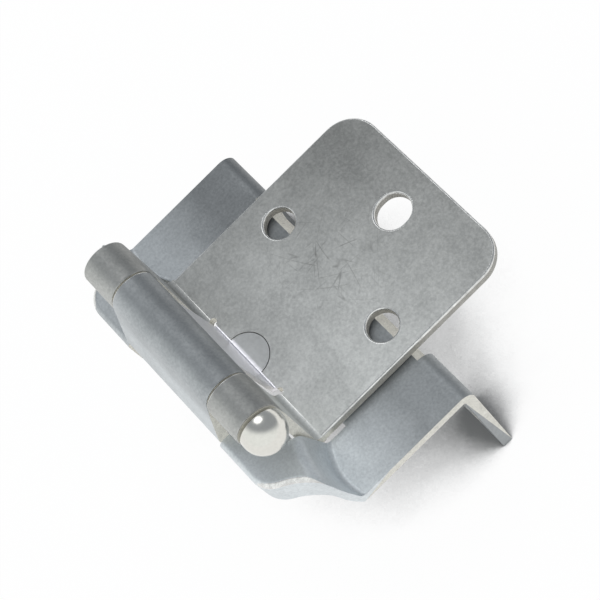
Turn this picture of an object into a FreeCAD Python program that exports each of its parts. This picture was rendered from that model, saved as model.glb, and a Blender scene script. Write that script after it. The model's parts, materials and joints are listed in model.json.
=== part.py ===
"""Spring loaded door hinge, partial wrap pattern, modelled closed.

Two pressed sheet steel leaves meet on one pin. The frame leaf sits on a cabinet frame: a flat
plate with two screw tabs folded down over the frame's edge, and a skirted seat, raised above the
plate, that carries the long middle knuckle. The door leaf lies over the plate, and two tall webs
take it up to the two end knuckles. A spring blade stands between the webs and bears on the
middle knuckle, so that it pulls the door shut.

Shapes are drawn round the pin: x runs from the pin across the leaves, y along the pin with its
domed head at the negative end, z upwards. At the end they move to the part's own frame, whose
origin lies on the underside of the frame leaf's plate.
"""
import FreeCAD, Part
import math
import os

from FreeCAD import Vector

# Sheet, barrel and pin
SHEET = 1.5
BEND_R = 1.0
BARREL_R = 3.25
BORE_R = BARREL_R - SHEET
PIN_PLAY = 0.05
PIN_R = BORE_R - PIN_PLAY
BARREL_HALF = 16.1
MID_KNUCKLE_HALF = 9.9
KNUCKLE_GAP = 0.2
ROLL_END_DEG = 280.0
HEAD_R = 3.12
HEAD_NECK = 0.3
HEAD_GAP = 0.15
PEEN_R = 2.4
PEEN_HEIGHT = 0.5
PEEN_SHOULDER = 0.38
EDGE_ROUND = 0.3

# How near counts as the same place, where edges are picked
NEAR = 0.01

# Door leaf
DOOR_TOP = -15.1
DOOR_REACH = 37.8
DOOR_HALF = 16.0
DOOR_CORNER_R = 4.8
FREE_EDGE_X = BARREL_R + BEND_R
HOLE_R = 2.25
DOOR_HOLE_X = 19.6
DOOR_HOLE_Y = 10.8
SLOT_X = 31.2
SLOT_LENGTH = 5.3
SLOT_R = 2.4
WEB_INNER_TOP = MID_KNUCKLE_HALF + KNUCKLE_GAP
WEB_INNER_FOOT = 7.4
WEB_FLARE_Z = -3.8
WEB_FLARE_BOW = 0.3
NOTCH_R = 0.5

# Frame leaf
LEAF_GAP = 0.3
PLATE_TOP = DOOR_TOP - SHEET - LEAF_GAP
PLATE_HALF = 25.25
FOLD_X = 21.6
FOLD_BEND_R = 0.5
FLANGE_DROP = 20.9
TAB_INNER = 17.05
TAB_HOLE_R = 2.1
TAB_HOLE_Y = (TAB_INNER + PLATE_HALF) / 2
TAB_HOLE_DROP = 14.1
MID_EDGE_TOP_X = 19.6
MID_EDGE_FOOT_X = 20.8
SEAT_TOP = -8.4
SEAT_LEFT = -5.85
SEAT_LEFT_HALF = 16.6
SEAT_CORNER = (-3.8, 19.95)
SEAT_OGEE_END = (0.6, 24.0)
SEAT_FLANK_END_X = 2.3
WINDOW_LEFT = 1.4
WINDOW_RIGHT = 7.2
WINDOW_HALF = 16.5
STEP_STOPS = ((WINDOW_HALF, (2.2, 4.0)), (20.5, (1.3, 2.2)), (PLATE_HALF, (0.5, 2.6)))
STEP_TOP_R = 0.5
STEP_FOOT_R = 0.9
SKIRT_LEFT_Z = -13.6
SKIRT_MID = (0.0, -14.8)
SKIRT_BEND = 0.9
KNUCKLE_LEAN_DEG = 14.5
KNUCKLE_BEND_R = 0.3
KNUCKLE_END_DEG = -70.0

# Closing spring
BLADE = 0.6
BLADE_HALF = 6.4
BLADE_FOOT_X = 4.0
BLADE_TOP_X = 3.0
BLADE_BEND_R = 0.2
BLADE_TOP_Z = -2.7
TONGUE_R = 3.25
TONGUE_PLAY = 0.1

# Place of the pin in the part's own frame
PIN_X = -13.5
PIN_Z = SHEET - PLATE_TOP


def at(x, z, y=0.0):
    """A point from its place across the leaves, its height and its place along the pin."""
    return Vector(x, y, z)


def polar(radius, degrees, y=0.0):
    """A point on a circle round the pin."""
    angle = math.radians(degrees)
    return Vector(radius * math.cos(angle), y, radius * math.sin(angle))


def line(a, b):
    """A straight edge."""
    return Part.LineSegment(a, b).toShape()


def arc(a, b, c):
    """A round edge through three points."""
    return Part.Arc(a, b, c).toShape()


def face(edges):
    """A flat face inside a ring of edges."""
    return Part.Face(Part.Wire(Part.__sortEdges__(edges)))


def along_pin(flat, y0, y1):
    """Carries a section along the pin from y0 to y1."""
    solid = flat.extrude(Vector(0, y1 - y0, 0))
    solid.translate(Vector(0, y0, 0))
    return solid


def box(x0, x1, y0, y1, z0, z1):
    """A box between two corners."""
    return Part.makeBox(x1 - x0, y1 - y0, z1 - z0, Vector(x0, y0, z0))


def rounded_path(corners, radii):
    """Edges of an open path with its inner corners rounded to the given radii."""
    edges = []
    start = corners[0]
    for before, corner, after, radius in zip(corners, corners[1:], corners[2:], radii):
        back = (before - corner).normalize()
        ahead = (after - corner).normalize()
        half = back.getAngle(ahead) / 2
        reach = radius / math.tan(half)
        middle = (back + ahead).normalize() * (radius / math.sin(half) - radius)
        edges.append(line(start, corner + back * reach))
        edges.append(arc(corner + back * reach, corner + middle, corner + ahead * reach))
        start = corner + ahead * reach
    edges.append(line(start, corners[-1]))
    return edges


def sheet_section(corners, bend_radii, thick=SHEET):
    """Section of a bent sheet from one face, bend by bend; the sheet lies to that path's right."""
    steps = [(b - a).normalize() for a, b in zip(corners, corners[1:])]
    sides = [Vector(s.z, 0, -s.x) for s in steps]
    other = [corners[0] + sides[0] * thick]
    path_radii = []
    other_radii = []
    for corner, one, two, radius in zip(corners[1:], sides, sides[1:], bend_radii):
        both = one + two
        other.append(corner + both * (2 * thick / both.dot(both)))
        turns_right = one.cross(two).y > 0
        path_radii.append(radius + thick if turns_right else radius)
        other_radii.append(radius if turns_right else radius + thick)
    other.append(corners[-1] + sides[-1] * thick)
    edges = rounded_path(corners, path_radii) + rounded_path(other, other_radii)
    edges += [line(corners[0], other[0]), line(corners[-1], other[-1])]
    return face(edges)


def both_ends(solid):
    """A solid and its mirror image at the other end of the pin."""
    return [solid, solid.mirror(Vector(0, 0, 0), Vector(0, 1, 0))]


def soften(solid, radius, chosen):
    """Rounds the edges for which chosen(edge) is true."""
    return solid.makeFillet(radius, [edge for edge in solid.Edges if chosen(edge)])


def lies_level(edge, z):
    """True for an edge that lies wholly at height z."""
    return abs(edge.BoundBox.ZMin - z) < NEAR and abs(edge.BoundBox.ZMax - z) < NEAR


def slot_cutter(x, length, radius, z0, z1):
    """An upright cutter for a round-ended slot across the leaf."""
    straight = length / 2 - radius
    ends = [Part.makeCylinder(radius, z1 - z0, Vector(x + s * straight, 0, z0)) for s in (-1, 1)]
    return ends[0].fuse([ends[1], box(x - straight, x + straight, -radius, radius, z0, z1)])


def door_plate():
    """The flat of the door leaf, with two screw holes and one short slot."""
    bottom = DOOR_TOP - SHEET
    plate = box(FREE_EDGE_X, DOOR_REACH, -DOOR_HALF, DOOR_HALF, bottom, DOOR_TOP)
    plate = soften(plate, DOOR_CORNER_R, lambda e: e.BoundBox.ZLength > SHEET / 2
                   and e.BoundBox.XMin > DOOR_REACH - SHEET)
    for y in (-DOOR_HOLE_Y, DOOR_HOLE_Y):
        plate = plate.cut(Part.makeCylinder(HOLE_R, SHEET, Vector(DOOR_HOLE_X, y, bottom)))
    plate = plate.cut(slot_cutter(SLOT_X, SLOT_LENGTH, SLOT_R, bottom, DOOR_TOP))
    return soften(plate, EDGE_ROUND, lambda e: lies_level(e, DOOR_TOP)
                  and e.BoundBox.XMax > FREE_EDGE_X + NEAR)


def end_knuckle():
    """The knuckle at the far end: a roll over the pin, its tall web and the bend into the plate."""
    bottom = DOOR_TOP - SHEET
    bend = at(BARREL_R + BEND_R, DOOR_TOP + BEND_R)
    roll_mid = ROLL_END_DEG / 2
    diagonal = Vector(-math.sqrt(0.5), 0, -math.sqrt(0.5))
    edges = [
        arc(polar(BARREL_R, 0), polar(BARREL_R, roll_mid), polar(BARREL_R, ROLL_END_DEG)),
        line(polar(BARREL_R, ROLL_END_DEG), polar(BORE_R, ROLL_END_DEG)),
        arc(polar(BORE_R, 0), polar(BORE_R, roll_mid), polar(BORE_R, ROLL_END_DEG)),
        line(at(BORE_R, 0), at(BORE_R, bend.z)),
        arc(at(BORE_R, bend.z), bend + diagonal * (BEND_R + SHEET), at(bend.x, bottom)),
        line(at(bend.x, bottom), at(bend.x, DOOR_TOP)),
        arc(at(bend.x, DOOR_TOP), bend + diagonal * BEND_R, at(BARREL_R, bend.z)),
        line(at(BARREL_R, bend.z), at(BARREL_R, 0)),
    ]
    knuckle = along_pin(face(edges), WEB_INNER_FOOT, BARREL_HALF)
    low = bend.z
    bow_y = WEB_INNER_TOP - WEB_FLARE_BOW * (WEB_INNER_TOP - WEB_INNER_FOOT)
    flare = face([
        line(Vector(0, WEB_INNER_TOP, BARREL_R * 2), Vector(0, WEB_INNER_TOP, WEB_FLARE_Z)),
        arc(Vector(0, WEB_INNER_TOP, WEB_FLARE_Z), Vector(0, bow_y, (WEB_FLARE_Z + low) / 2),
            Vector(0, WEB_INNER_FOOT, low)),
        line(Vector(0, WEB_INNER_FOOT, low), Vector(0, 0, low)),
        line(Vector(0, 0, low), Vector(0, 0, BARREL_R * 2)),
        line(Vector(0, 0, BARREL_R * 2), Vector(0, WEB_INNER_TOP, BARREL_R * 2)),
    ]).extrude(Vector(4 * BARREL_R, 0, 0))
    flare.translate(Vector(-2 * BARREL_R, 0, 0))
    return knuckle.cut(flare)


def tongue(radius, depth):
    """The half-round end that lies in the leaf, at the middle of its free edge."""
    disc = Part.makeCylinder(radius, depth, Vector(FREE_EDGE_X, 0, DOOR_TOP - depth))
    return disc.common(box(FREE_EDGE_X, DOOR_REACH, -radius, radius, DOOR_TOP - depth, DOOR_TOP))


def door_leaf():
    """Plate, two webs with their end knuckles, and the seat of the spring's tongue."""
    leaf = door_plate().fuse(both_ends(end_knuckle()))
    bottom = DOOR_TOP - SHEET
    notch = Part.makeCylinder(NOTCH_R, SHEET * 2, Vector(FREE_EDGE_X, WEB_INNER_FOOT - NOTCH_R / 2,
                                                         bottom - SHEET / 2))
    leaf = leaf.cut(both_ends(notch))
    return leaf.cut(tongue(TONGUE_R + TONGUE_PLAY, BLADE)).removeSplitter()


def turning_arc(start, heading, end):
    """A round edge that leaves start along heading, and the heading at which it reaches end."""
    chord = end - start
    along = Vector(chord).normalize()
    share = heading.dot(along)
    aside = heading - along * share
    middle = (start + end) * 0.5 + aside * (chord.Length / 2 / (1 + share))
    return arc(start, middle, end), along * (2 * share) - heading


def seat_plan():
    """Plan of the seat: straight left side, round corners, ogee flanks out to the plate's ends."""
    right = WINDOW_RIGHT + SHEET
    flank = ((SEAT_LEFT, SEAT_LEFT_HALF), SEAT_CORNER, SEAT_OGEE_END, (SEAT_FLANK_END_X, PLATE_HALF))
    edges = [line(Vector(SEAT_LEFT, SEAT_LEFT_HALF, 0), Vector(SEAT_LEFT, -SEAT_LEFT_HALF, 0)),
             line(Vector(right, -PLATE_HALF, 0), Vector(right, PLATE_HALF, 0))]
    for side in (-1, 1):
        stops = [Vector(x, side * y, 0) for x, y in flank]
        heading = Vector(0, side, 0)
        for start, end in zip(stops, stops[1:]):
            edge, heading = turning_arc(start, heading, end)
            edges.append(edge)
        edges.append(line(stops[-1], Vector(right, side * PLATE_HALF, 0)))
    return face(edges)


def upright(flat, z0, z1):
    """Raises a plan face from z0 to z1."""
    solid = flat.extrude(Vector(0, 0, z1 - z0))
    solid.translate(Vector(0, 0, z0))
    return solid


def seat_block():
    """The space inside the seat's plan, with the rim that the sheet bends over rounded."""
    block = upright(seat_plan(), PLATE_TOP - SHEET, SEAT_TOP)
    rim_end = SEAT_FLANK_END_X + NEAR
    return soften(block, SKIRT_BEND, lambda e: lies_level(e, SEAT_TOP) and e.BoundBox.XMax < rim_end)


def step_outline(step_x, y, drop):
    """Outline of the space under the seat's stepped end, drop below its face, at one place along the pin."""
    left = SEAT_LEFT - SHEET
    right = WINDOW_RIGHT + 2 * SHEET
    low = PLATE_TOP - 2 * SHEET
    fall = math.atan2(SEAT_TOP - PLATE_TOP, step_x[1] - step_x[0])
    inset = drop * math.tan(fall / 2)
    corners = [at(left, SEAT_TOP - drop, y), at(step_x[0] - inset, SEAT_TOP - drop, y),
               at(step_x[1] - inset, PLATE_TOP - drop, y), at(right, PLATE_TOP - drop, y)]
    edges = rounded_path(corners, [STEP_TOP_R + SHEET - drop, STEP_FOOT_R + drop])
    edges.append(line(corners[-1], at(right, low, y)))
    edges.append(line(at(right, low, y), at(left, low, y)))
    edges.append(line(at(left, low, y), corners[0]))
    return Part.Wire(Part.__sortEdges__(edges))


def stepped_space(drop):
    """The space under the far end of the seat, between the window and the plate's end."""
    return Part.makeLoft([step_outline(step_x, y, drop) for y, step_x in STEP_STOPS], True, False)


def ear(block):
    """The far end of the seat with its skirt: the sheet steps down to the plate on a curved line."""
    hollow = upright(seat_plan().makeOffset2D(-SHEET), PLATE_TOP - 2 * SHEET, SEAT_TOP)
    return stepped_space(0).common(block).cut(stepped_space(SHEET).common(hollow))


def strip(block):
    """The far strip of the seat, from the middle knuckle to the ear, with its skirt."""
    low = PLATE_TOP - SHEET
    bar = box(SEAT_LEFT, WINDOW_LEFT, MID_KNUCKLE_HALF, WINDOW_HALF, low, SEAT_TOP).common(block)
    return bar.cut(box(SEAT_LEFT + SHEET, WINDOW_LEFT, MID_KNUCKLE_HALF, WINDOW_HALF, low, SEAT_TOP - SHEET))


def below_skirt():
    """The space under the far skirt, which is deeper towards the plate."""
    low = PLATE_TOP - SHEET
    corners = [at(SEAT_LEFT, SKIRT_LEFT_Z), at(*SKIRT_MID), at(SEAT_FLANK_END_X, low), at(SEAT_LEFT, low)]
    edges = [line(a, b) for a, b in zip(corners, corners[1:] + corners[:1])]
    return along_pin(face(edges), MID_KNUCKLE_HALF, PLATE_HALF)


def seat():
    """The two ends of the raised seat, each in one piece with its strip and skirt."""
    block = seat_block()
    return both_ends(ear(block).fuse(strip(block)).cut(below_skirt()))


def middle_knuckle():
    """The knuckle of the frame leaf: a leaning wall off the seat's left side, rolled over the pin."""
    lean = math.radians(KNUCKLE_LEAN_DEG)
    start_deg = 180 - KNUCKLE_LEAN_DEG
    mid_deg = (start_deg + KNUCKLE_END_DEG) / 2
    outer = polar(BARREL_R, start_deg)
    inner = polar(BORE_R, start_deg)
    under = SEAT_TOP - SHEET
    corner = at(outer.x - (outer.z - under) * math.tan(lean), under)
    roll = face([
        arc(polar(BARREL_R, KNUCKLE_END_DEG), polar(BARREL_R, mid_deg), outer),
        line(outer, inner),
        arc(inner, polar(BORE_R, mid_deg), polar(BORE_R, KNUCKLE_END_DEG)),
        line(polar(BORE_R, KNUCKLE_END_DEG), polar(BARREL_R, KNUCKLE_END_DEG)),
    ])
    wall = sheet_section([at(WINDOW_LEFT, under), corner, outer], [KNUCKLE_BEND_R])
    return along_pin(roll, -MID_KNUCKLE_HALF, MID_KNUCKLE_HALF).fuse(
        along_pin(wall, -MID_KNUCKLE_HALF, MID_KNUCKLE_HALF))


def plate():
    """The flat on the frame, its two folded screw tabs and the sheared edge between them."""
    section = sheet_section([at(WINDOW_RIGHT, PLATE_TOP), at(FOLD_X, PLATE_TOP),
                             at(FOLD_X, PLATE_TOP - FLANGE_DROP)], [FOLD_BEND_R])
    folded = along_pin(section, -PLATE_HALF, PLATE_HALF)
    low = PLATE_TOP - FLANGE_DROP
    folded = folded.cut(box(MID_EDGE_TOP_X - 2 * SHEET, FOLD_X, -TAB_INNER, TAB_INNER, low, PLATE_TOP))
    middle = face([
        line(at(WINDOW_RIGHT, PLATE_TOP), at(MID_EDGE_TOP_X, PLATE_TOP)),
        line(at(MID_EDGE_TOP_X, PLATE_TOP), at(MID_EDGE_FOOT_X, PLATE_TOP - SHEET)),
        line(at(MID_EDGE_FOOT_X, PLATE_TOP - SHEET), at(WINDOW_RIGHT, PLATE_TOP - SHEET)),
        line(at(WINDOW_RIGHT, PLATE_TOP - SHEET), at(WINDOW_RIGHT, PLATE_TOP)),
    ])
    folded = folded.fuse(along_pin(middle, -TAB_INNER, TAB_INNER))
    for y in (-TAB_HOLE_Y, TAB_HOLE_Y):
        folded = folded.cut(Part.makeCylinder(TAB_HOLE_R, 2 * SHEET,
                                              Vector(FOLD_X - 1.5 * SHEET, y, PLATE_TOP - TAB_HOLE_DROP),
                                              Vector(1, 0, 0)))
    return folded


def frame_leaf():
    """Plate, raised seat and middle knuckle in one sheet."""
    return plate().fuse([*seat(), middle_knuckle()]).removeSplitter()


def hinge_pin():
    """The pin: a shank with a polished dome at one end and a low peened head at the other."""
    near = -BARREL_HALF - HEAD_GAP
    far = BARREL_HALF + HEAD_GAP
    neck = near - HEAD_NECK
    slant = HEAD_R * math.sqrt(0.5)
    crown = at(0, 0, neck - HEAD_R)
    peak = at(0, 0, far + PEEN_HEIGHT)
    edges = [
        line(crown, peak),
        arc(peak, at(PEEN_R / 2, 0, far + PEEN_SHOULDER), at(PEEN_R, 0, far)),
        line(at(PEEN_R, 0, far), at(PIN_R, 0, far)),
        line(at(PIN_R, 0, far), at(PIN_R, 0, near)),
        line(at(PIN_R, 0, near), at(HEAD_R, 0, near)),
        line(at(HEAD_R, 0, near), at(HEAD_R, 0, neck)),
        arc(at(HEAD_R, 0, neck), at(slant, 0, neck - slant), crown),
    ]
    return face(edges).revolve(Vector(0, 0, 0), Vector(0, 1, 0), 360)


def closing_spring():
    """A strip let into the leaf by its tongue and turned up between the webs to the knuckle."""
    section = sheet_section([at(FREE_EDGE_X, DOOR_TOP - BLADE), at(BLADE_FOOT_X - BLADE, DOOR_TOP - BLADE),
                             at(BLADE_TOP_X - BLADE, BLADE_TOP_Z)], [BLADE_BEND_R], BLADE)
    strip = along_pin(section, -BLADE_HALF, BLADE_HALF)
    return strip.fuse(tongue(TONGUE_R, BLADE)).removeSplitter()


PARTS = {
    "frame_leaf": frame_leaf,
    "hinge_pin": hinge_pin,
    "door_leaf": door_leaf,
    "closing_spring": closing_spring,
}

os.makedirs("parts", exist_ok=True)
for name, make in PARTS.items():
    shape = make()
    shape.translate(Vector(PIN_X, 0, PIN_Z))
    print(name, "valid", shape.isValid(), "solids", len(shape.Solids), "volume", round(shape.Volume, 1))
    solid = shape.Solids[0] if len(shape.Solids) == 1 else shape
    solid.exportStep(f"parts/{name}.step")
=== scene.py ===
"""Looks of a spring loaded door hinge: plated pressings, a polished pin and a bright spring strip.

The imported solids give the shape. Each pressing is shown by a merged copy of its solid whose sheared
edges are softened and get their own finish, and the pin is a turned surface of its own.
"""
from __future__ import annotations

import json
import logging
import math
from dataclasses import dataclass
from enum import Enum

import bmesh
import bpy
import numpy as np
from mathutils import Matrix, Vector
from mathutils.bvhtree import BVHTree

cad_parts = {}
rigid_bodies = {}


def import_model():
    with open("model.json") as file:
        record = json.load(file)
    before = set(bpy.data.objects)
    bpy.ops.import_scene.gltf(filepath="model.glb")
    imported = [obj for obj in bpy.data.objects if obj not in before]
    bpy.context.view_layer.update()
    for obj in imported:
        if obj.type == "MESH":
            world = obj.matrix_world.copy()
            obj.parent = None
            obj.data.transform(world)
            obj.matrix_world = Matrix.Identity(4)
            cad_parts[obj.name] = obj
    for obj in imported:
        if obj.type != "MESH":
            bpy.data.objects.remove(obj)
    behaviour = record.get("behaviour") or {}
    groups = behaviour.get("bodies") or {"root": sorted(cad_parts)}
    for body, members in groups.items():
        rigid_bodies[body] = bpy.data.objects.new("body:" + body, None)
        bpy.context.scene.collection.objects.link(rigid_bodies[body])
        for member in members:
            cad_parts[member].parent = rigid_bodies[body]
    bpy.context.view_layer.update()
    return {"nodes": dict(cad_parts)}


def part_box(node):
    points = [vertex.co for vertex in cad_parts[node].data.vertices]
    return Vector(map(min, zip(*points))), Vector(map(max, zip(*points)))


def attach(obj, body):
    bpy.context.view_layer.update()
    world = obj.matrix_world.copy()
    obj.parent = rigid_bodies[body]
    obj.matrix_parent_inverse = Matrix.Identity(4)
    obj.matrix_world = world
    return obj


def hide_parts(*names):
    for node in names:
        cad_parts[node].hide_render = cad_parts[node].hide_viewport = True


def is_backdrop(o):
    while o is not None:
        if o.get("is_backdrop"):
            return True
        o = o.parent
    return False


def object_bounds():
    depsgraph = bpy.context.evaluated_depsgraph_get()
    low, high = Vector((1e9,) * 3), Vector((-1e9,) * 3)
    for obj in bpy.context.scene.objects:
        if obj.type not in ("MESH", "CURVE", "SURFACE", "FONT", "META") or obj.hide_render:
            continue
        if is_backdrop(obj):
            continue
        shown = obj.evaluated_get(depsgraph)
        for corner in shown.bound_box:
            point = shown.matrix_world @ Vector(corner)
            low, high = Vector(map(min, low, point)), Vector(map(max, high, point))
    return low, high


LOG = logging.getLogger("hinge")
MM = 0.001
IMAGE_SIDE = 600
PIN_X = -13.5 * MM
PIN_Z = 18.4 * MM
BARREL_R = 3.25 * MM
FRAME_RIM = 9.9 * MM
DOOR_RIM = 10.1 * MM
DOOR_END = 16.1 * MM
LEAF_TOP = 3.3 * MM
TONE_HALF = 20.0 * MM
Colour = tuple[float, float, float]
Rgba = tuple[float, float, float, float]
Point = tuple[float, float, float]
Span = tuple[float, float]
WHITE: Rgba = (1.0, 1.0, 1.0, 1.0)


class Face(Enum):
    """Material slots of a pressing, in the order of its mesh's slots."""

    SHEET = 0
    SHEARED = 1
    # faces with a painted highlight: a brighter finish on rounded edges
    PAINTED_HIGHLIGHT = 2


class NodeTree:
    """A shader tree with short ways to add and join nodes."""

    def __init__(self, tree: bpy.types.NodeTree) -> None:
        """Keeps the tree that nodes are added to."""
        self.tree = tree

    def add(self, kind: str, settings: dict | None = None, **inputs: object) -> bpy.types.Node:
        """Adds a node.

        Args:
            kind: Blender's name for the node's type.
            settings: Properties of the node.
            inputs: Values or sockets for its inputs, by name with _ for each space.

        Returns:
            The new node.
        """
        node = self.tree.nodes.new(kind)
        for name, value in (settings or {}).items():
            setattr(node, name, value)
        for name, value in inputs.items():
            self.feed(node, name.replace("_", " "), value)
        return node

    def feed(self, node: bpy.types.Node, name: str | int, value: object) -> None:
        """Sets an input to a value, or joins it to a socket.

        Args:
            node: The node that is fed.
            name: The input's name or place.
            value: A socket, or a plain value.
        """
        if isinstance(value, bpy.types.NodeSocket):
            self.tree.links.new(value, node.inputs[name])
        else:
            node.inputs[name].default_value = value

    def math(self, operation: str, one: object, two: object = 0.0,
             clamp: bool = False) -> bpy.types.NodeSocket:
        """Works out one operation on two values.

        Args:
            operation: The operation's name.
            one: The first value or socket.
            two: The second value or socket.
            clamp: Whether the result is kept from 0 to 1.

        Returns:
            The socket with the result.
        """
        node = self.add("ShaderNodeMath", {"operation": operation, "use_clamp": clamp})
        self.feed(node, 0, one)
        self.feed(node, 1, two)
        return node.outputs[0]

    def ramp(self, value: object, low: object, high: object, to_low: object = 0.0,
             to_high: object = 1.0) -> bpy.types.NodeSocket:
        """Carries a value from one range to another and stops at its ends.

        Args:
            value: The value or socket.
            low: Where the range starts.
            high: Where it ends.
            to_low: The result at its start.
            to_high: The result at its end.

        Returns:
            The socket with the result.
        """
        node = self.add("ShaderNodeMapRange", {"clamp": True})
        for place, given in enumerate((value, low, high, to_low, to_high)):
            self.feed(node, place, given)
        return node.outputs[0]

    def mix(self, share: object, one: object, two: object, blend: str = "MIX") -> bpy.types.NodeSocket:
        """Mixes two colours.

        Args:
            share: How much of the second is taken.
            one: The first colour or socket.
            two: The second colour or socket.
            blend: The way of mixing.

        Returns:
            The socket with the mixed colour.
        """
        node = self.add("ShaderNodeMix", {"data_type": "RGBA", "blend_type": blend})
        self.feed(node, 0, share)
        self.feed(node, 6, one)
        self.feed(node, 7, two)
        return node.outputs[2]

    def noise(self, vector: object, scale: object, detail: float = 2.0, rough: float = 0.5,
              distort: float = 0.0) -> bpy.types.NodeSocket:
        """Adds a noise texture.

        Args:
            vector: The socket with its coordinates.
            scale: Grains per metre.
            detail: Finer layers.
            rough: Their weight.
            distort: How far it is stirred.

        Returns:
            The socket with its value.
        """
        node = self.add("ShaderNodeTexNoise", Vector=vector, Scale=scale, Detail=detail, Roughness=rough,
                        Distortion=distort)
        return node.outputs["Fac"]

    def stretch(self, vector: object, scale: Point = (1.0, 1.0, 1.0),
                turn: Point = (0.0, 0.0, 0.0)) -> bpy.types.NodeSocket:
        """Scales coordinates and then turns them.

        Args:
            vector: The socket with the coordinates.
            scale: The factor along each axis.
            turn: The turn about each axis in radians.

        Returns:
            The socket with the new coordinates.
        """
        return self.add("ShaderNodeMapping", Vector=vector, Scale=scale, Rotation=turn).outputs[0]

    def distance(self, one: object, two: object) -> bpy.types.NodeSocket:
        """Measures how far apart two places are.

        Args:
            one: The first place or socket.
            two: The second place or socket.

        Returns:
            The socket with the distance.
        """
        node = self.add("ShaderNodeVectorMath", {"operation": "DISTANCE"})
        self.feed(node, 0, one)
        self.feed(node, 1, two)
        return node.outputs["Value"]


class SurfaceGroup:
    """A shader node group with named inputs and outputs."""

    def __init__(self, name: str, inputs: dict[str, object], outputs: dict[str, str]) -> None:
        """Makes the group and its sockets.

        Args:
            name: The group's name.
            inputs: Default value of each input by name; None stands for a vector.
            outputs: Socket type of each output by name.
        """
        self.group = bpy.data.node_groups.new(name, "ShaderNodeTree")
        self.inside = NodeTree(self.group)
        for label, value in inputs.items():
            kind = "NodeSocketFloat"
            if value is None:
                kind = "NodeSocketVector"
            elif isinstance(value, tuple):
                kind = "NodeSocketColor"
            socket = self.group.interface.new_socket(label, in_out="INPUT", socket_type=kind)
            if value is not None:
                socket.default_value = value
        for label, kind in outputs.items():
            self.group.interface.new_socket(label, in_out="OUTPUT", socket_type=kind)
        self.source = self.group.nodes.new("NodeGroupInput")
        self.sink = self.group.nodes.new("NodeGroupOutput")

    def place(self, tree: NodeTree, **inputs: object) -> bpy.types.Node:
        """Places the group in a material's tree.

        Args:
            tree: The material's tree.
            inputs: Values or sockets by name with _ for each space.

        Returns:
            The group's node there.
        """
        return tree.add("ShaderNodeGroup", {"node_tree": self.group}, **inputs)


class ZincGrain(SurfaceGroup):
    """Cloudy zinc plate: soft clouds, fine grains and dark pin-point specks."""

    CLOUD_WEIGHT = 0.45
    CLOUD_SPAN: Span = (0.3, 0.7)
    GRAIN_SPAN: Span = (0.32, 0.68)
    FINER = 2.7
    SPECK_SPAN: Span = (0.7, 0.8)
    SPECK_SHARE = 0.35
    FINE_HEIGHT = 0.3

    def __init__(self) -> None:
        """Builds the group's nodes."""
        super().__init__("zinc_grain",
                         {"Vector": None, "Light": (0.5, 0.5, 0.5, 1.0), "Dark": (0.4, 0.4, 0.4, 1.0),
                          "Grain": 2600.0, "Cloud": 160.0, "Smooth": 0.3, "Rough": 0.42},
                         {"Color": "NodeSocketColor", "Roughness": "NodeSocketFloat",
                          "Height": "NodeSocketFloat"})
        board, into = self.inside, self.source.outputs
        cloud = board.noise(into["Vector"], into["Cloud"], detail=3.0, rough=0.6, distort=0.4)
        grain = board.noise(into["Vector"], into["Grain"], detail=2.0, rough=0.65, distort=0.3)
        fine = board.noise(into["Vector"], board.math("MULTIPLY", into["Grain"], self.FINER), detail=1.0)
        cloud_share = board.ramp(cloud, *self.CLOUD_SPAN)
        grain_share = board.ramp(grain, *self.GRAIN_SPAN)
        speck = board.math("MULTIPLY", board.ramp(fine, *self.SPECK_SPAN), self.SPECK_SHARE)
        light_share = board.math("ADD", board.math("MULTIPLY", cloud_share, self.CLOUD_WEIGHT),
                                 board.math("MULTIPLY", grain_share, 1.0 - self.CLOUD_WEIGHT), clamp=True)
        colour = board.mix(light_share, into["Dark"], into["Light"])
        board.feed(self.sink, "Color", board.mix(speck, colour, into["Dark"], "MULTIPLY"))
        roughness = board.ramp(light_share, 0.0, 1.0, into["Rough"], into["Smooth"])
        board.feed(self.sink, "Roughness", roughness)
        height = board.math("ADD", board.math("MULTIPLY", grain, 1.0 - self.FINE_HEIGHT),
                            board.math("MULTIPLY", fine, self.FINE_HEIGHT))
        board.feed(self.sink, "Height", height)


class HairScratches(SurfaceGroup):
    """Nearly straight hairlines that cross: level lines of drawn-out noises, broken into short lengths."""

    LAYS = 12
    TURN = 0.7
    DRAWN_OUT: Point = (1.0, 0.08, 1.0)
    LEVEL_FROM = 0.42
    LEVEL_SPREAD = 0.16
    LEVEL_STEP = 0.37
    BREAK_SPAN: Span = (0.5, 0.6)

    def __init__(self) -> None:
        """Builds the group's nodes."""
        super().__init__("hair_scratches",
                         {"Vector": None, "Scale": 260.0, "Width": 0.005, "Breaks": 300.0},
                         {"Mask": "NodeSocketFloat"})
        board, into = self.inside, self.source.outputs
        mask = None
        for lay in range(self.LAYS):
            level = self.LEVEL_FROM + self.LEVEL_SPREAD * (self.LEVEL_STEP * lay % 1.0)
            turned = board.stretch(into["Vector"], turn=(0.0, 0.0, self.TURN * lay))
            lie = board.stretch(turned, self.DRAWN_OUT)
            slow = board.noise(lie, into["Scale"], detail=0.5, rough=0.4, distort=0.1)
            off = board.math("ABSOLUTE", board.math("SUBTRACT", slow, level))
            line = board.math("SUBTRACT", 1.0, board.math("DIVIDE", off, into["Width"]), clamp=True)
            breaks = board.ramp(board.noise(turned, into["Breaks"], detail=1.0), *self.BREAK_SPAN)
            length = board.math("MULTIPLY", line, breaks)
            mask = length if mask is None else board.math("MAXIMUM", mask, length)
        board.feed(self.sink, "Mask", mask)


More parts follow.
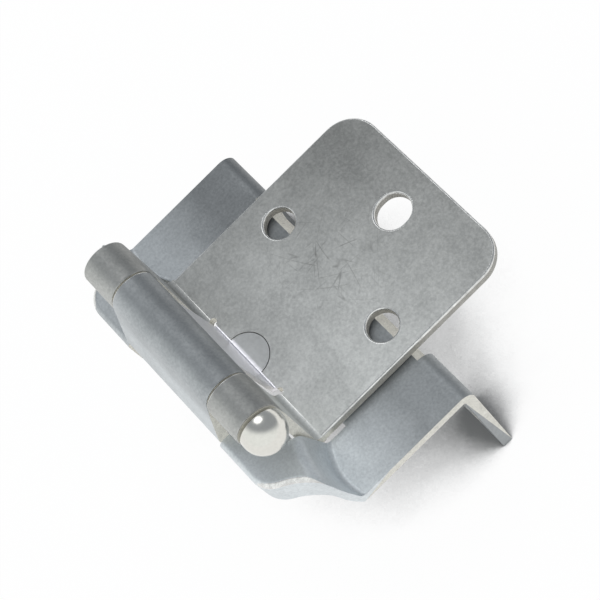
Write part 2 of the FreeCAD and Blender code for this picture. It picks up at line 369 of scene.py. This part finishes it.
class ShearGrain(SurfaceGroup):
    """A sheared edge: pale metal, torn into fine speckles."""

    COARSER = 0.16
    TORN_WEIGHT = 0.75
    TORN_SPAN: Span = (0.3, 0.62)
    SLOW_SPAN: Span = (0.35, 0.65)

    def __init__(self) -> None:
        """Builds the group's nodes."""
        super().__init__("shear_grain",
                         {"Vector": None, "Light": (0.8, 0.8, 0.75, 1.0), "Dark": (0.4, 0.4, 0.38, 1.0),
                          "Grain": 5200.0},
                         {"Color": "NodeSocketColor", "Height": "NodeSocketFloat"})
        board, into = self.inside, self.source.outputs
        torn = board.noise(into["Vector"], into["Grain"], detail=3.0, rough=0.7, distort=0.8)
        slow = board.noise(into["Vector"], board.math("MULTIPLY", into["Grain"], self.COARSER))
        torn_share = board.math("MULTIPLY", board.ramp(torn, *self.TORN_SPAN), self.TORN_WEIGHT)
        slow_share = board.math("MULTIPLY", board.ramp(slow, *self.SLOW_SPAN), 1.0 - self.TORN_WEIGHT)
        share = board.math("ADD", torn_share, slow_share, clamp=True)
        board.feed(self.sink, "Color", board.mix(share, into["Dark"], into["Light"]))
        board.feed(self.sink, "Height", torn)


class PaintedPlateShading(SurfaceGroup):
    """Painted light and shade on a plate's colour: the barrel's ridge darker than its side, and the flat
    lighter or darker along the pin and out to the free edge, as the light falls.
    """

    ROLL_SPAN: Span = (-0.9 * BARREL_R, 0.25 * BARREL_R)
    FLAT_SPAN: Span = (BARREL_R + 0.1 * MM, BARREL_R + 2.0 * MM)

    def __init__(self) -> None:
        """Builds the group's nodes."""
        super().__init__("painted_plate_shading",
                         {"Vector": None, "Ridge": 0.5, "Side": 0.7, "Near": 1.0, "Far": 1.0,
                          "Out": 1.0, "Out From": 0.0, "Out To": TONE_HALF},
                         {"Tone": "NodeSocketFloat"})
        board, into = self.inside, self.source.outputs
        place = board.add("ShaderNodeSeparateXYZ", Vector=into["Vector"]).outputs
        aside = board.math("SUBTRACT", place["X"], PIN_X)
        above = board.math("SUBTRACT", place["Z"], PIN_Z)
        reach = board.math("SQRT", board.math("ADD", board.math("MULTIPLY", aside, aside),
                                              board.math("MULTIPLY", above, above)))
        # painted shade: the barrel's ridge darker than its side
        roll = board.ramp(aside, *self.ROLL_SPAN, into["Side"], into["Ridge"])
        # painted light and shade along the pin and out across the plate
        along = board.ramp(place["Y"], -TONE_HALF, TONE_HALF, into["Near"], into["Far"])
        out = board.ramp(place["X"], into["Out From"], into["Out To"], 1.0, into["Out"])
        flat = board.math("MULTIPLY", along, out)
        board.feed(self.sink, "Tone", board.ramp(reach, *self.FLAT_SPAN, roll, flat))


@dataclass(frozen=True)
class Groups:
    """The node groups that the finishes share."""

    painted_shading: PaintedPlateShading
    grain: ZincGrain
    scratches: HairScratches
    shear: ShearGrain


class Finish:
    """A material around one Principled shader."""

    def __init__(self, name: str) -> None:
        """Makes an empty material.

        Args:
            name: The material's name.
        """
        self.material = bpy.data.materials.new(name)
        self.material.use_nodes = True
        self.material.node_tree.nodes.clear()
        self.board = NodeTree(self.material.node_tree)
        self.shader = self.board.add("ShaderNodeBsdfPrincipled")
        self.board.add("ShaderNodeOutputMaterial", Surface=self.shader.outputs[0])
        self.place = self.board.add("ShaderNodeTexCoord").outputs["Object"]

    def set(self, **inputs: object) -> None:
        """Sets or joins inputs of the shader by name with _ for each space."""
        for name, value in inputs.items():
            self.board.feed(self.shader, name.replace("_", " "), value)

    def bump(self, height: bpy.types.NodeSocket, depth: float, strength: float) -> None:
        """Bends the normal by a height.

        Args:
            height: The socket with the height.
            depth: Its depth in metres.
            strength: Its share, from 0 to 1.
        """
        node = self.board.add("ShaderNodeBump", Height=height, Distance=depth, Strength=strength)
        self.set(Normal=node.outputs[0])


@dataclass(frozen=True)
class PlatedSheet:
    """Satin zinc plate on pressed sheet, with painted light and shade in its colour and an optional patch
    of hairline scratches.
    """

    name: str
    light: Colour
    dark: Colour
    smooth: float = 0.5
    rough: float = 0.62
    # painted light and shade: factors on the colour at the barrel's ridge and side, at the near and far
    # ends, and out across the plate
    ridge_painted_shading: float = 0.5
    side_painted_shading: float = 0.7
    near_painted_shading: float = 1.0
    far_painted_shading: float = 1.0
    out_painted_shading: float = 1.0
    out_from: float = 0.0
    out_to: float = TONE_HALF
    scratch_centre: Point | None = None
    scratch_reach: float = 11 * MM
    scratch_core: float = 2.2 * MM
    scratch_share: float = 0.5
    scratch_colour: Rgba = (0.09, 0.085, 0.08, 1.0)

    def make(self, groups: Groups) -> bpy.types.Material:
        """Builds the material.

        Args:
            groups: The shared node groups.

        Returns:
            The material.
        """
        finish = Finish(self.name)
        board = finish.board
        grain = groups.grain.place(board, Vector=finish.place, Light=(*self.light, 1.0),
                                   Dark=(*self.dark, 1.0), Smooth=self.smooth, Rough=self.rough)
        painted_shading = groups.painted_shading.place(board, Vector=finish.place, Ridge=self.ridge_painted_shading,
                                   Side=self.side_painted_shading, Near=self.near_painted_shading, Far=self.far_painted_shading,
                                   Out=self.out_painted_shading, Out_From=self.out_from, Out_To=self.out_to)
        # painted light and shade multiplied into the plate's colour
        colour = board.mix(1.0, grain.outputs["Color"], painted_shading.outputs["Tone"], "MULTIPLY")
        if self.scratch_centre is not None:
            lines = groups.scratches.place(board, Vector=finish.place).outputs["Mask"]
            away = board.distance(finish.place, self.scratch_centre)
            near = board.ramp(away, self.scratch_reach, self.scratch_core, 0.0, self.scratch_share)
            colour = board.mix(board.math("MULTIPLY", lines, near), colour, self.scratch_colour)
        finish.set(Base_Color=colour, Metallic=1.0, Roughness=grain.outputs["Roughness"])
        finish.bump(grain.outputs["Height"], depth=0.02 * MM, strength=0.25)
        return finish.material


@dataclass(frozen=True)
class ShearedEdge:
    """The raw cut of the sheet: pale and torn, with painted shade that darkens it from some distance
    across.
    """

    name: str
    light: Colour = (1.0, 0.97, 0.88)
    dark: Colour = (0.6, 0.58, 0.52)
    painted_shade_span: Span = (-8.5 * MM, -7.5 * MM)
    painted_shade_tone: float = 1.0

    def make(self, groups: Groups) -> bpy.types.Material:
        """Builds the material.

        Args:
            groups: The shared node groups.

        Returns:
            The material.
        """
        finish = Finish(self.name)
        torn = groups.shear.place(finish.board, Vector=finish.place, Light=(*self.light, 1.0),
                                  Dark=(*self.dark, 1.0))
        across = finish.board.add("ShaderNodeSeparateXYZ", Vector=finish.place).outputs["X"]
        # painted shade: the cut's colour darkens past a line across the piece
        tone = finish.board.ramp(across, *self.painted_shade_span, 1.0, self.painted_shade_tone)
        colour = finish.board.mix(1.0, torn.outputs["Color"], tone, "MULTIPLY")
        finish.set(Base_Color=colour, Metallic=0.2, Roughness=0.45)
        finish.bump(torn.outputs["Height"], depth=0.05 * MM, strength=0.5)
        return finish.material


@dataclass(frozen=True)
class PaintedHighlightEdge:
    """Plate with a painted highlight along a rounded edge: a lighter, smoother finish where the edge
    catches the light.
    """

    name: str = "painted_highlight_edge"
    light: Colour = (0.95, 0.95, 0.93)
    dark: Colour = (0.5, 0.5, 0.49)

    def make(self, groups: Groups) -> bpy.types.Material:
        """Builds the material.

        Args:
            groups: The shared node groups.

        Returns:
            The material.
        """
        finish = Finish(self.name)
        grain = groups.grain.place(finish.board, Vector=finish.place, Light=(*self.light, 1.0),
                                   Dark=(*self.dark, 1.0), Grain=1400.0, Smooth=0.2, Rough=0.32)
        finish.set(Base_Color=grain.outputs["Color"], Metallic=1.0, Roughness=grain.outputs["Roughness"])
        return finish.material


@dataclass(frozen=True)
class PolishedPin:
    """The pin's bright turned and burnished steel."""

    name: str = "polished_pin"
    light: Colour = (0.78, 0.77, 0.72)
    dark: Colour = (0.72, 0.71, 0.66)

    def make(self, groups: Groups) -> bpy.types.Material:
        """Builds the material.

        Args:
            groups: The shared node groups.

        Returns:
            The material.
        """
        finish = Finish(self.name)
        grain = groups.grain.place(finish.board, Vector=finish.place, Light=(*self.light, 1.0),
                                   Dark=(*self.dark, 1.0), Cloud=420.0, Smooth=0.18, Rough=0.26)
        finish.set(Base_Color=grain.outputs["Color"], Metallic=1.0, Roughness=grain.outputs["Roughness"])
        finish.bump(grain.outputs["Height"], depth=0.01 * MM, strength=0.15)
        return finish.material


@dataclass(frozen=True)
class SpringStrip:
    """Bright rolled spring strip, with faint lines along its rolling and painted shade on the tongue."""

    name: str = "spring_strip"
    light: Colour = (0.97, 0.96, 1.0)
    dark: Colour = (0.85, 0.84, 0.87)
    rolling: Point = (1.0, 0.04, 1.0)
    rolling_grain: float = 5200.0
    tongue_span: Span = (-9.3 * MM, -8.9 * MM)
    tongue_painted_shade: Colour = (0.455, 0.47, 0.45)

    def make(self, groups: Groups) -> bpy.types.Material:
        """Builds the material.

        Args:
            groups: The shared node groups.

        Returns:
            The material.
        """
        finish = Finish(self.name)
        board = finish.board
        lines = board.noise(board.stretch(finish.place, self.rolling), self.rolling_grain)
        grain = groups.grain.place(board, Vector=finish.place, Light=(*self.light, 1.0),
                                   Dark=(*self.dark, 1.0), Grain=1800.0, Smooth=0.3, Rough=0.42)
        across = board.add("ShaderNodeSeparateXYZ", Vector=finish.place).outputs["X"]
        on_tongue = board.ramp(across, *self.tongue_span)
        # painted shade: the tongue darkened, though it is the same metal as the strip
        colour = board.mix(on_tongue, grain.outputs["Color"], (*self.tongue_painted_shade, 1.0), "MULTIPLY")
        finish.set(Base_Color=colour, Metallic=1.0, Roughness=grain.outputs["Roughness"])
        finish.bump(lines, depth=0.01 * MM, strength=0.2)
        return finish.material


@dataclass
class Pressing:
    """A pressed piece shown by a merged copy of its solid, with softened edges.

    Its faces are sorted by the metal behind them, their place and their normal, so the limits below
    are depths in thicknesses of the sheet, places in metres and parts of a unit normal.
    """

    node: str
    body: str
    slot: str
    sheet: float = 1.5 * MM
    edge: float = 0.1 * MM
    rims: tuple[float, ...] = ()
    # the rim whose rounding gets a painted highlight
    highlit_rim: float | None = None
    rim_round: float = 0.16 * MM
    rounded_top: float | None = None
    top_depth: float = 0.35 * MM
    top_tilt: Span = (0.05, 0.995)
    drawn_up_to: float = -8.0 * MM
    ears_from: float = 17.0 * MM
    cut_depth: float = 1.5
    along_pin: float = 0.95
    facing_down: float = -0.5
    cut_slope: Point = (0.0, 0.0, 0.0)
    slope_match: float = 0.99
    # seat-rim faces past this distance, facing out with these tilts, get a painted highlight
    highlight_from: float | None = None
    highlight_tilt: Span = (0.3, 0.95)
    highlight_across: float = 0.15
    highlight_along: float = 0.2
    weld: float = 0.002 * MM
    lift: float = 0.01 * MM
    slack: float = 0.02 * MM
    flat_deg: float = 0.4
    sharp_deg: float = 34.0

    def sheared(self, mesh: bmesh.types.BMesh) -> np.ndarray:
        """Tells the sheared faces from the sheet's two sides by the metal behind each face.

        A face of the sheet has one thickness of metal behind it, and a sheared face far more. On the
        pin's side the sheet is drawn, so there only faces that look down, or along the pin inside the
        ears, are cuts. An edge with the cut's slope between the ears is one too.

        Args:
            mesh: The merged triangles.

        Returns:
            One flag for each face.
        """
        tree = BVHTree.FromBMesh(mesh)

        def metal(face: bmesh.types.BMFace) -> float:
            """Depth of metal straight behind a face."""
            start = face.calc_center_median() - face.normal * self.lift
            depth = tree.ray_cast(start, -face.normal)[3]
            return depth or 0.0

        depth = np.array([metal(face) for face in mesh.faces])
        normal = np.array([face.normal for face in mesh.faces])
        centre = np.array([face.calc_center_median() for face in mesh.faces])
        drawn = centre[:, 0] < self.drawn_up_to
        between = np.abs(centre[:, 1]) < self.ears_from
        along = (np.abs(normal[:, 1]) > self.along_pin) & between
        down = normal[:, 2] < self.facing_down
        deep = (depth > self.cut_depth * self.sheet) & (~drawn | along | down)
        sloped = (normal @ np.array(self.cut_slope) > self.slope_match) & ~drawn & between
        return deep | sloped

    def painted_highlight(self, mesh: bmesh.types.BMesh) -> np.ndarray:
        """Finds the rounded edges that get a painted highlight: round a leaf's top, or along the seat's
        rim.

        Args:
            mesh: The merged triangles.

        Returns:
            One flag for each face.
        """
        normal = np.array([face.normal for face in mesh.faces])
        centre = np.array([face.calc_center_median() for face in mesh.faces])
        tilt = normal[:, 2]

        def tilted(span: Span) -> np.ndarray:
            """True where a face's tilt lies inside a span."""
            return (tilt > span[0]) & (tilt < span[1])

        if self.highlight_from is not None:
            outward = normal[:, 1] * np.sign(centre[:, 1]) > self.highlight_along
            beyond = np.abs(centre[:, 1]) > self.highlight_from
            return outward & beyond & (normal[:, 0] < self.highlight_across) & tilted(self.highlight_tilt)
        if self.rounded_top is None:
            return np.zeros(len(mesh.faces), bool)
        lowest = np.array([min(vert.co.z for vert in face.verts) for face in mesh.faces])
        highest = np.array([max(vert.co.z for vert in face.verts) for face in mesh.faces])
        under = highest < self.rounded_top + self.slack
        return under & (lowest > self.rounded_top - self.top_depth) & tilted(self.top_tilt)

    def round_rims(self, mesh: bmesh.types.BMesh) -> int:
        """Rounds the barrel's rims, of which one may get a painted highlight.

        Args:
            mesh: The merged mesh with its flats joined up.

        Returns:
            How many edges were rounded.
        """
        def on_rim(vert: bmesh.types.BMVert, rim: float) -> bool:
            """True for a corner on the barrel's skin at a rim."""
            reach = math.hypot(vert.co.x - PIN_X, vert.co.z - PIN_Z)
            return abs(vert.co.y - rim) < self.slack and abs(reach - BARREL_R) < self.slack

        rounded = 0
        for rim in self.rims:
            edges = [edge for edge in mesh.edges if all(on_rim(vert, rim) for vert in edge.verts)]
            finish = Face.PAINTED_HIGHLIGHT if rim == self.highlit_rim else Face.SHEET
            bmesh.ops.bevel(mesh, geom=edges, offset=self.rim_round, offset_type="OFFSET", segments=4,
                            profile=0.5, affect="EDGES", clamp_overlap=True, material=finish.value)
            rounded += len(edges)
        return rounded

    def mark(self, mesh: bmesh.types.BMesh) -> int:
        """Gives each face the slot of its finish.

        Args:
            mesh: The merged triangles.

        Returns:
            How many faces are sheared.
        """
        cut = self.sheared(mesh)
        highlit = self.painted_highlight(mesh)
        for face, is_cut, is_highlit in zip(mesh.faces, cut, highlit):
            face.material_index = Face.SHEARED.value if is_cut else Face.SHEET.value
            # faces picked for a painted highlight get the brighter finish
            if is_highlit:
                face.material_index = Face.PAINTED_HIGHLIGHT.value
        return int(cut.sum())

    def soften(self, piece: bpy.types.Object) -> None:
        """Softens the sharp edges and keeps the flats evenly shaded.

        Args:
            piece: The shown piece.
        """
        bevel = piece.modifiers.new("soft_edges", "BEVEL")
        bevel.width = self.edge
        bevel.segments = 2
        bevel.limit_method = "ANGLE"
        bevel.angle_limit = math.radians(self.sharp_deg)
        bevel.harden_normals = True
        level = piece.modifiers.new("level_shading", "WEIGHTED_NORMAL")
        level.mode = "FACE_AREA"
        level.weight = 100
        level.keep_sharp = True

    def build(self, cad: bpy.types.Object, sheet: bpy.types.Material, sheared: bpy.types.Material,
              painted_highlight: bpy.types.Material) -> bpy.types.Object:
        """Makes the shown piece.

        Args:
            cad: The node's object.
            sheet: Finish of the sheet's sides.
            sheared: Finish of its cut edges.
            painted_highlight: Finish of its rounded edges, which carry a painted highlight.

        Returns:
            The new object, riding on its body in place of the node.
        """
        work = bmesh.new()
        work.from_mesh(cad.data)
        bmesh.ops.remove_doubles(work, verts=work.verts, dist=self.weld)
        work.normal_update()
        cuts = self.mark(work)
        bmesh.ops.dissolve_limit(work, angle_limit=math.radians(self.flat_deg), verts=work.verts,
                                 edges=work.edges, delimit={"MATERIAL"})
        rounded = self.round_rims(work)
        for face in work.faces:
            face.smooth = True
        mesh = bpy.data.meshes.new(f"{self.node}_shown")
        work.to_mesh(mesh)
        work.free()
        for finish in (sheet, sheared, painted_highlight):
            mesh.materials.append(finish)
        mesh.set_sharp_from_angle(angle=math.radians(self.sharp_deg))
        piece = bpy.data.objects.new(f"{self.node}_shown", mesh)
        bpy.context.scene.collection.objects.link(piece)
        self.soften(piece)
        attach(piece, self.body)
        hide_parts(self.node)
        LOG.info("%s: %d faces, %d sheared, %d rim edges", piece.name, len(mesh.polygons), cuts, rounded)
        return piece


@dataclass
class DomedPin:
    """The pin as one turned surface: peened end, shank, head and dome."""

    node: str = "hinge_pin"
    body: str = "frame_side"
    slot: str = "polished_pin"
    shank_r: float = 1.7 * MM
    peen_r: float = 2.4 * MM
    peen_height: float = 0.5 * MM
    head_neck: float = 0.7 * MM
    head_stretch: float = 0.7 * MM
    soft: float = 0.12 * MM
    soft_middle: float = 0.3
    peen_lip: float = 0.02 * MM
    sharp_deg: float = 50.0
    turns: int = 128
    dome_steps: int = 40

    def profile(self) -> np.ndarray:
        """Radius and place along the pin, from the peened end's middle to the dome's crown.

        The peen is a parabola, y = far + height (1 - (r / R) squared), and the dome half a ball,
        r = R cos a and y = crown + R (1 - sin a).

        Returns:
            Rows of radius and y; the ends have no radius.
        """
        low, high = (np.array(corner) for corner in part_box(self.node))
        head_r = (high[0] - low[0]) / 2
        crown = low[1] - self.head_stretch
        near = crown + head_r + self.head_neck
        far = high[1] - self.peen_height
        rise = np.linspace(0.0, 1.0, self.dome_steps)
        peen_r = self.peen_r * np.sin(rise * np.pi / 2)
        peen = np.column_stack([peen_r, far + self.peen_height * (1 - (peen_r / self.peen_r) ** 2)])
        lip = far - self.peen_lip
        middle = self.soft_middle * self.soft
        shank = np.array([[self.peen_r - self.soft, lip], [self.shank_r, lip], [self.shank_r, near],
                          [head_r - self.soft, near], [head_r - middle, near - middle],
                          [head_r, near - self.soft]])
        swing = rise * np.pi / 2
        dome = np.column_stack([head_r * np.cos(swing), crown + head_r * (1 - np.sin(swing))])
        return np.vstack([peen, shank, dome])

    def build(self, finish: bpy.types.Material) -> bpy.types.Object:
        """Turns the profile about the pin's axis: x = r cos a, z = r sin a.

        Args:
            finish: The pin's material.

        Returns:
            The new object, riding on its body in place of the node.
        """
        rows = self.profile()
        low, high = (np.array(corner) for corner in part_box(self.node))
        centre = (low + high) / 2
        angle = np.linspace(0.0, 2 * np.pi, self.turns, endpoint=False)
        ring = rows[1:-1]
        x = centre[0] + ring[:, :1] * np.cos(angle)
        z = centre[2] + ring[:, :1] * np.sin(angle)
        y = np.broadcast_to(ring[:, 1:], x.shape)
        body = np.stack([x, y, z], axis=-1).reshape(-1, 3)
        poles = np.array([[centre[0], rows[0, 1], centre[2]], [centre[0], rows[-1, 1], centre[2]]])
        points = np.vstack([body, poles])
        grid = np.arange(len(body)).reshape(x.shape)
        after = np.roll(grid, -1, axis=1)
        quads = np.stack([grid[:-1], grid[1:], after[1:], after[:-1]], axis=-1).reshape(-1, 4)
        start = np.full(self.turns, len(body))
        first = np.stack([start, grid[0], after[0]], axis=-1)
        last = np.stack([start + 1, after[-1], grid[-1]], axis=-1)
        mesh = bpy.data.meshes.new(f"{self.node}_shown")
        mesh.from_pydata(points.tolist(), [], [*quads.tolist(), *first.tolist(), *last.tolist()])
        mesh.polygons.foreach_set("use_smooth", np.ones(len(mesh.polygons), bool))
        mesh.set_sharp_from_angle(angle=math.radians(self.sharp_deg))
        mesh.materials.append(finish)
        mesh.update()
        piece = bpy.data.objects.new(f"{self.node}_shown", mesh)
        bpy.context.scene.collection.objects.link(piece)
        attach(piece, self.body)
        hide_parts(self.node)
        LOG.info("%s: %d faces", piece.name, len(mesh.polygons))
        return piece


@dataclass
class Studio:
    """White floor, soft light and the camera."""

    target: Point = (0.85 * MM, -7.92 * MM, 18.4 * MM)
    distance: float = 283.83 * MM
    azimuth_deg: float = -0.25
    elevation_deg: float = 61.49
    roll_deg: float = 44.45
    focal_px: float = 2300.0
    sensor: float = 36.0
    clip: Span = (5 * MM, 20.0)
    floor_reach: float = 3.0
    floor_pale: Rgba = (0.9, 0.9, 0.9, 1.0)
    floor_shaded: Rgba = (0.3, 0.3, 0.3, 1.0)
    glow: float = 1.02
    glow_share: float = 0.94
    shade_reach: float = 60.0 * MM
    shade_samples: int = 16
    shade_span: Span = (0.46, 0.6)
    dark_side: Point = (0.55, 0.45, 0.7)
    dark_from: Span = (0.15, 0.5)
    pale_sky: Rgba = (0.98, 1.0, 1.0, 1.0)
    grey_sky: Rgba = (0.34, 0.36, 0.385, 1.0)
    key_place: Point = (0.168, 0.29, 0.533)
    key_width: float = 0.4
    key_watts: float = 0.6

    def camera(self) -> None:
        """Sets up the camera at the photograph's angle, rolled about its own line of sight."""
        azimuth = math.radians(self.azimuth_deg)
        elevation = math.radians(self.elevation_deg)
        roll = math.radians(self.roll_deg)
        level = math.cos(elevation)
        look = Vector((-math.sin(azimuth) * level, math.cos(azimuth) * level, -math.sin(elevation)))
        right = Vector((math.cos(azimuth), math.sin(azimuth), 0.0))
        up = right.cross(look)
        across = math.cos(roll) * right - math.sin(roll) * up
        upward = math.sin(roll) * right + math.cos(roll) * up
        data = bpy.data.cameras.new("camera")
        data.sensor_width = self.sensor
        data.lens = self.focal_px / IMAGE_SIDE * self.sensor
        data.clip_start, data.clip_end = self.clip
        camera = bpy.data.objects.new("camera", data)
        turn = Matrix((across, upward, -look)).transposed().to_4x4()
        camera.matrix_world = Matrix.Translation(Vector(self.target) - look * self.distance) @ turn
        bpy.context.scene.collection.objects.link(camera)
        bpy.context.scene.camera = camera

    def seen(self, board: NodeTree) -> bpy.types.NodeSocket:
        """A mask of the rays that see the background: from the camera, or by gloss or through glass.

        Args:
            board: The tree that gets the nodes.

        Returns:
            The socket with the mask.
        """
        path = board.add("ShaderNodeLightPath").outputs
        either = board.math("MAXIMUM", path["Is Camera Ray"], path["Is Glossy Ray"])
        return board.math("MAXIMUM", either, path["Is Transmission Ray"])

    def floor(self, height: float) -> None:
        """Lays a white floor, shaded where the hinge hides the sky from it.

        Args:
            height: Where it lies.
        """
        reach = self.floor_reach
        corners = np.array([[-reach, -reach], [reach, -reach], [reach, reach], [-reach, reach]])
        points = np.column_stack([corners, np.full(4, height)])
        mesh = bpy.data.meshes.new("floor")
        mesh.from_pydata(points.tolist(), [], [[0, 1, 2, 3]])
        floor = bpy.data.objects.new("floor", mesh)
        bpy.context.scene.collection.objects.link(floor)
        material = bpy.data.materials.new("pale_floor")
        material.use_nodes = True
        material.node_tree.nodes.clear()
        board = NodeTree(material.node_tree)
        matt = board.add("ShaderNodeBsdfDiffuse")
        glow = board.add("ShaderNodeEmission", Color=WHITE, Strength=self.glow)
        open_sky = board.add("ShaderNodeAmbientOcclusion", {"samples": self.shade_samples},
                             Distance=self.shade_reach)
        bare = board.ramp(open_sky.outputs["AO"], *self.shade_span)
        board.feed(matt, "Color", board.mix(bare, self.floor_shaded, self.floor_pale))
        bright = board.math("MULTIPLY", bare, self.glow_share)
        share = board.math("MULTIPLY", self.seen(board), bright)
        both = board.add("ShaderNodeMixShader")
        board.feed(both, 0, share)
        board.feed(both, 1, matt.outputs[0])
        board.feed(both, 2, glow.outputs[0])
        board.add("ShaderNodeOutputMaterial", Surface=both.outputs[0])
        mesh.materials.append(material)
        floor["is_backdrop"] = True

    def lamp(self) -> None:
        """Hangs a round soft lamp that points at the hinge."""
        data = bpy.data.lights.new("key_lamp", "AREA")
        data.shape = "DISK"
        data.size = self.key_width
        data.energy = self.key_watts
        lamp = bpy.data.objects.new("key_lamp", data)
        lamp.location = self.key_place
        lamp.rotation_mode = "QUATERNION"
        lamp.rotation_quaternion = (Vector(self.target) - Vector(self.key_place)).to_track_quat("-Z", "Y")
        bpy.context.scene.collection.objects.link(lamp)

    def sky(self) -> None:
        """Lights the hinge all round: pale in front and at the left, grey behind, white if seen."""
        world = bpy.data.worlds.new("studio")
        bpy.context.scene.world = world
        world.use_nodes = True
        world.node_tree.nodes.clear()
        board = NodeTree(world.node_tree)
        direction = board.add("ShaderNodeTexCoord").outputs["Generated"]
        towards = board.add("ShaderNodeVectorMath", {"operation": "DOT_PRODUCT"})
        board.feed(towards, 0, direction)
        board.feed(towards, 1, self.dark_side)
        dim = board.ramp(towards.outputs["Value"], *self.dark_from)
        lit = board.mix(dim, self.pale_sky, self.grey_sky)
        camera = board.add("ShaderNodeLightPath").outputs["Is Camera Ray"]
        colour = board.mix(camera, lit, WHITE)
        glow = board.add("ShaderNodeBackground", Color=colour, Strength=1.0)
        board.add("ShaderNodeOutputWorld", Surface=glow.outputs[0])

    def build(self, height: float) -> None:
        """Sets up everything round the hinge.

        Args:
            height: The floor's height.
        """
        self.camera()
        self.floor(height)
        self.sky()
        self.lamp()
        bpy.context.scene.view_settings.view_transform = "Standard"


def main() -> None:
    """Dresses the hinge and sets up its studio."""
    logging.basicConfig(level=logging.INFO, format="%(name)s %(message)s")
    for thing in list(bpy.data.objects):
        bpy.data.objects.remove(thing)
    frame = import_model()
    groups = Groups(PaintedPlateShading(), ZincGrain(), HairScratches(), ShearGrain())
    frame_cut = ShearedEdge("frame_cut").make(groups)
    # painted shade: the door leaf's cut edges darkened out from the barrel
    door_cut = ShearedEdge("door_cut", painted_shade_tone=0.5).make(groups)
    # a brighter finish on rounded edges: a painted highlight
    painted_highlight = PaintedHighlightEdge().make(groups)
    # the ridge, side, near, far and out factors are painted light and shade multiplied into the plates'
    # colour
    door_plate = PlatedSheet(
        "door_plate", light=(0.94, 0.95, 0.92), dark=(0.7, 0.71, 0.69), ridge_painted_shading=0.43, side_painted_shading=0.64,
        near_painted_shading=0.97, far_painted_shading=0.5, out_painted_shading=0.64, scratch_centre=(8 * MM, 2 * MM, LEAF_TOP)).make(groups)
    frame_plate = PlatedSheet(
        "frame_plate", light=(0.78, 0.815, 0.83), dark=(0.6, 0.63, 0.645), ridge_painted_shading=0.47, side_painted_shading=0.77,
        near_painted_shading=1.12, far_painted_shading=0.78, out_painted_shading=0.5, out_from=-8 * MM, out_to=1 * MM).make(groups)
    strip = SpringStrip().make(groups)
    # the rim and seat-rim settings pick the rounded edges that get a painted highlight
    frame_leaf = Pressing(
        "frame_leaf", "frame_side", "plated_sheet", rims=(-FRAME_RIM, FRAME_RIM), highlit_rim=FRAME_RIM,
        cut_slope=(0.78, 0.0, 0.625), highlight_from=17.0 * MM)
    door_leaf = Pressing(
        "door_leaf", "door_side", "plated_sheet", rims=(-DOOR_END, -DOOR_RIM, DOOR_RIM, DOOR_END),
        highlit_rim=-DOOR_RIM, rounded_top=LEAF_TOP, drawn_up_to=-math.inf)
    closing_spring = Pressing(
        "closing_spring", "door_side", "spring_strip", sheet=0.6 * MM, edge=0.05 * MM)
    frame_leaf.build(frame["nodes"]["frame_leaf"], frame_plate, frame_cut, painted_highlight)
    door_leaf.build(frame["nodes"]["door_leaf"], door_plate, door_cut, painted_highlight)
    closing_spring.build(frame["nodes"]["closing_spring"], strip, strip, painted_highlight)
    DomedPin().build(PolishedPin().make(groups))
    shown_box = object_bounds()
    Studio().build(shown_box[0].z)


if __name__ == "__main__":
    main()
